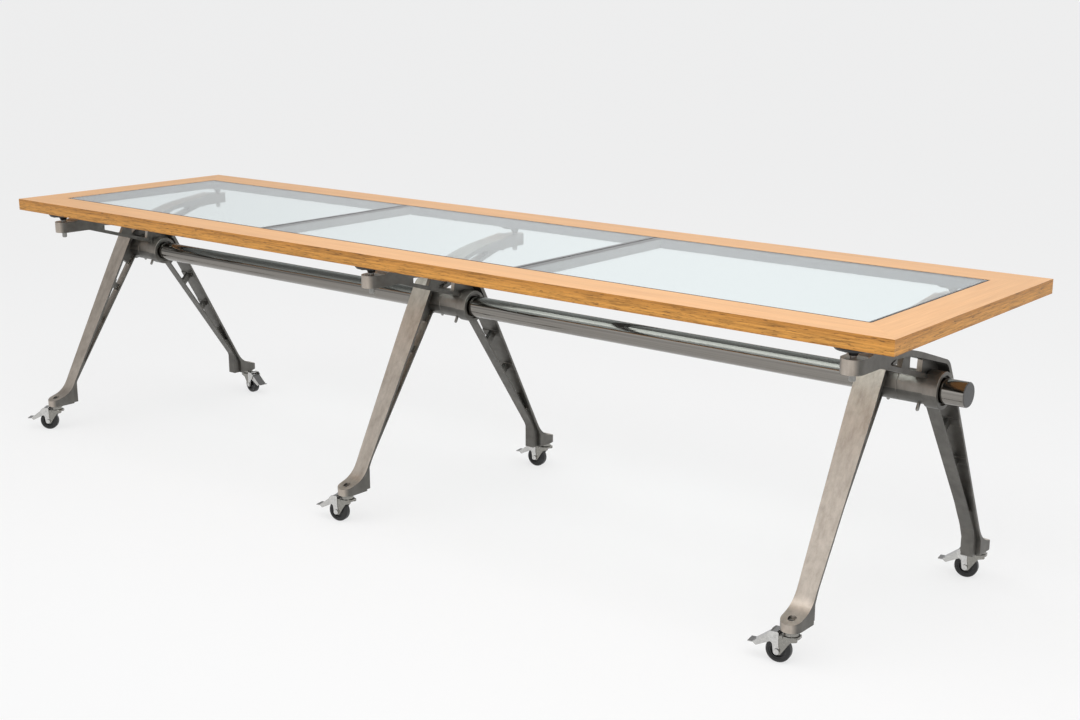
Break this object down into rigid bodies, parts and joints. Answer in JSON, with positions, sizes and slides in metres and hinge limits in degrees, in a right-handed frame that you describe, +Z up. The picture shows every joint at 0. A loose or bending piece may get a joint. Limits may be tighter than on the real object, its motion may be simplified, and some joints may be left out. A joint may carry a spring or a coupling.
{
  "type": "castor table",
  "caption": "Long table with a mitred plywood frame and inset glass panes, carried by cast legs clamped on a round spine tube, on braked swivel castors.",
  "frame": {"origin": "on the floor, under the middle of the table", "axes": "+X along the table to the right, +Y from the front long edge to the rear one, +Z up"},
  "size_m": [3.0291, 0.8119, 0.75],
  "materials": {
    "plywood": "clear lacquer over veneer, layered edge",
    "seal": "matt black",
    "glass": "clear float glass, polished edge",
    "polished_tube": "polished",
    "cast_leg": "satin casting",
    "black_plate": "matt black",
    "fastener": "plain steel",
    "castor_steel": "bright zinc, pressed sheet",
    "wheel_centre": "moulded, matt",
    "tyre": "matt rubber with a worn tread"
  },
  "bodies": {
    "root": {"rail_front": "plywood", "rail_rear": "plywood", "rail_left": "plywood", "rail_right": "plywood", "glass_bars": "plywood", "glass_seal": "seal", "glass_left": "glass", "glass_middle": "glass", "glass_right": "glass", "spine_tube": "polished_tube", "tube_plugs": "polished_tube", "clamp_screws": "fastener", "support_plates": "black_plate", "support_studs": "fastener", "plate_screws": "fastener", "castor_stems": "castor_steel", "stem_nuts": "fastener", "leg_front_left": "cast_leg", "leg_rear_left": "cast_leg", "leg_front_middle": "cast_leg", "leg_rear_middle": "cast_leg", "leg_front_right": "cast_leg", "leg_rear_right": "cast_leg"},
    "swivel_front_left": {"fork_front_left": "castor_steel", "brake_bracket_front_left": "castor_steel", "axle_front_left": "castor_steel"},
    "wheel_front_left": {"wheel_hub_front_left": "wheel_centre", "tyre_front_left": "tyre"},
    "pedal_front_left": {"brake_pedal_front_left": "castor_steel"},
    "swivel_front_middle": {"fork_front_middle": "castor_steel", "brake_bracket_front_middle": "castor_steel", "axle_front_middle": "castor_steel"},
    "wheel_front_middle": {"wheel_hub_front_middle": "wheel_centre", "tyre_front_middle": "tyre"},
    "pedal_front_middle": {"brake_pedal_front_middle": "castor_steel"},
    "swivel_front_right": {"fork_front_right": "castor_steel", "brake_bracket_front_right": "castor_steel", "axle_front_right": "castor_steel"},
    "wheel_front_right": {"wheel_hub_front_right": "wheel_centre", "tyre_front_right": "tyre"},
    "pedal_front_right": {"brake_pedal_front_right": "castor_steel"},
    "swivel_rear_left": {"fork_rear_left": "castor_steel", "brake_bracket_rear_left": "castor_steel", "axle_rear_left": "castor_steel"},
    "wheel_rear_left": {"wheel_hub_rear_left": "wheel_centre", "tyre_rear_left": "tyre"},
    "pedal_rear_left": {"brake_pedal_rear_left": "castor_steel"},
    "swivel_rear_middle": {"fork_rear_middle": "castor_steel", "brake_bracket_rear_middle": "castor_steel", "axle_rear_middle": "castor_steel"},
    "wheel_rear_middle": {"wheel_hub_rear_middle": "wheel_centre", "tyre_rear_middle": "tyre"},
    "pedal_rear_middle": {"brake_pedal_rear_middle": "castor_steel"},
    "swivel_rear_right": {"fork_rear_right": "castor_steel", "brake_bracket_rear_right": "castor_steel", "axle_rear_right": "castor_steel"},
    "wheel_rear_right": {"wheel_hub_rear_right": "wheel_centre", "tyre_rear_right": "tyre"},
    "pedal_rear_right": {"brake_pedal_rear_right": "castor_steel"}
  },
  "joints": [
    {"name": "swivel_front_left", "type": "hinge", "parent": "root", "child": "swivel_front_left", "pos_m": [-1.446, -0.352, 0.07], "axis": [0, 0, 1], "continuous": true},
    {"name": "roll_front_left", "type": "hinge", "parent": "swivel_front_left", "child": "wheel_front_left", "pos_m": [-1.46677, -0.36765, 0.0285], "axis": [0.6018, -0.7986, 0], "continuous": true},
    {"name": "brake_front_left", "type": "hinge", "parent": "swivel_front_left", "child": "pedal_front_left", "pos_m": [-1.47076, -0.37066, 0.062], "axis": [-0.6018, 0.7986, 0], "range_deg": [0, 15]},
    {"name": "swivel_front_middle", "type": "hinge", "parent": "root", "child": "swivel_front_middle", "pos_m": [-0.082, -0.352, 0.07], "axis": [0, 0, 1], "continuous": true},
    {"name": "roll_front_middle", "type": "hinge", "parent": "swivel_front_middle", "child": "wheel_front_middle", "pos_m": [-0.10743, -0.35741, 0.0285], "axis": [0.2079, -0.9781, 0], "continuous": true},
    {"name": "brake_front_middle", "type": "hinge", "parent": "swivel_front_middle", "child": "pedal_front_middle", "pos_m": [-0.11232, -0.35845, 0.062], "axis": [-0.2079, 0.9781, 0], "range_deg": [0, 15]},
    {"name": "swivel_front_right", "type": "hinge", "parent": "root", "child": "swivel_front_right", "pos_m": [1.282, -0.352, 0.07], "axis": [0, 0, 1], "continuous": true},
    {"name": "roll_front_right", "type": "hinge", "parent": "swivel_front_right", "child": "wheel_front_right", "pos_m": [1.25639, -0.35652, 0.0285], "axis": [0.1736, -0.9848, 0], "continuous": true},
    {"name": "brake_front_right", "type": "hinge", "parent": "swivel_front_right", "child": "pedal_front_right", "pos_m": [1.25147, -0.35738, 0.062], "axis": [-0.1736, 0.9848, 0], "range_deg": [0, 15]},
    {"name": "swivel_rear_left", "type": "hinge", "parent": "root", "child": "swivel_rear_left", "pos_m": [-1.34, 0.352, 0.07], "axis": [0, 0, 1], "continuous": true},
    {"name": "roll_rear_left", "type": "hinge", "parent": "swivel_rear_left", "child": "wheel_rear_left", "pos_m": [-1.3141, 0.34973, 0.0285], "axis": [0.0872, 0.9962, 0], "continuous": true},
    {"name": "brake_rear_left", "type": "hinge", "parent": "swivel_rear_left", "child": "pedal_rear_left", "pos_m": [-1.30912, 0.3493, 0.062], "axis": [-0.0872, -0.9962, 0], "range_deg": [0, 15]},
    {"name": "swivel_rear_middle", "type": "hinge", "parent": "root", "child": "swivel_rear_middle", "pos_m": [0.024, 0.352, 0.07], "axis": [0, 0, 1], "continuous": true},
    {"name": "roll_rear_middle", "type": "hinge", "parent": "swivel_rear_middle", "child": "wheel_rear_middle", "pos_m": [-0.00175, 0.34838, 0.0285], "axis": [0.1392, -0.9903, 0], "continuous": true},
    {"name": "brake_rear_middle", "type": "hinge", "parent": "swivel_rear_middle", "child": "pedal_rear_middle", "pos_m": [-0.0067, 0.34769, 0.062], "axis": [-0.1392, 0.9903, 0], "range_deg": [0, 15]},
    {"name": "swivel_rear_right", "type": "hinge", "parent": "root", "child": "swivel_rear_right", "pos_m": [1.388, 0.352, 0.07], "axis": [0, 0, 1], "continuous": true},
    {"name": "roll_rear_right", "type": "hinge", "parent": "swivel_rear_right", "child": "wheel_rear_right", "pos_m": [1.3624, 0.34748, 0.0285], "axis": [0.1736, -0.9848, 0], "continuous": true},
    {"name": "brake_rear_right", "type": "hinge", "parent": "swivel_rear_right", "child": "pedal_rear_right", "pos_m": [1.35747, 0.34662, 0.062], "axis": [-0.1736, 0.9848, 0], "range_deg": [0, 15]}
  ]
}
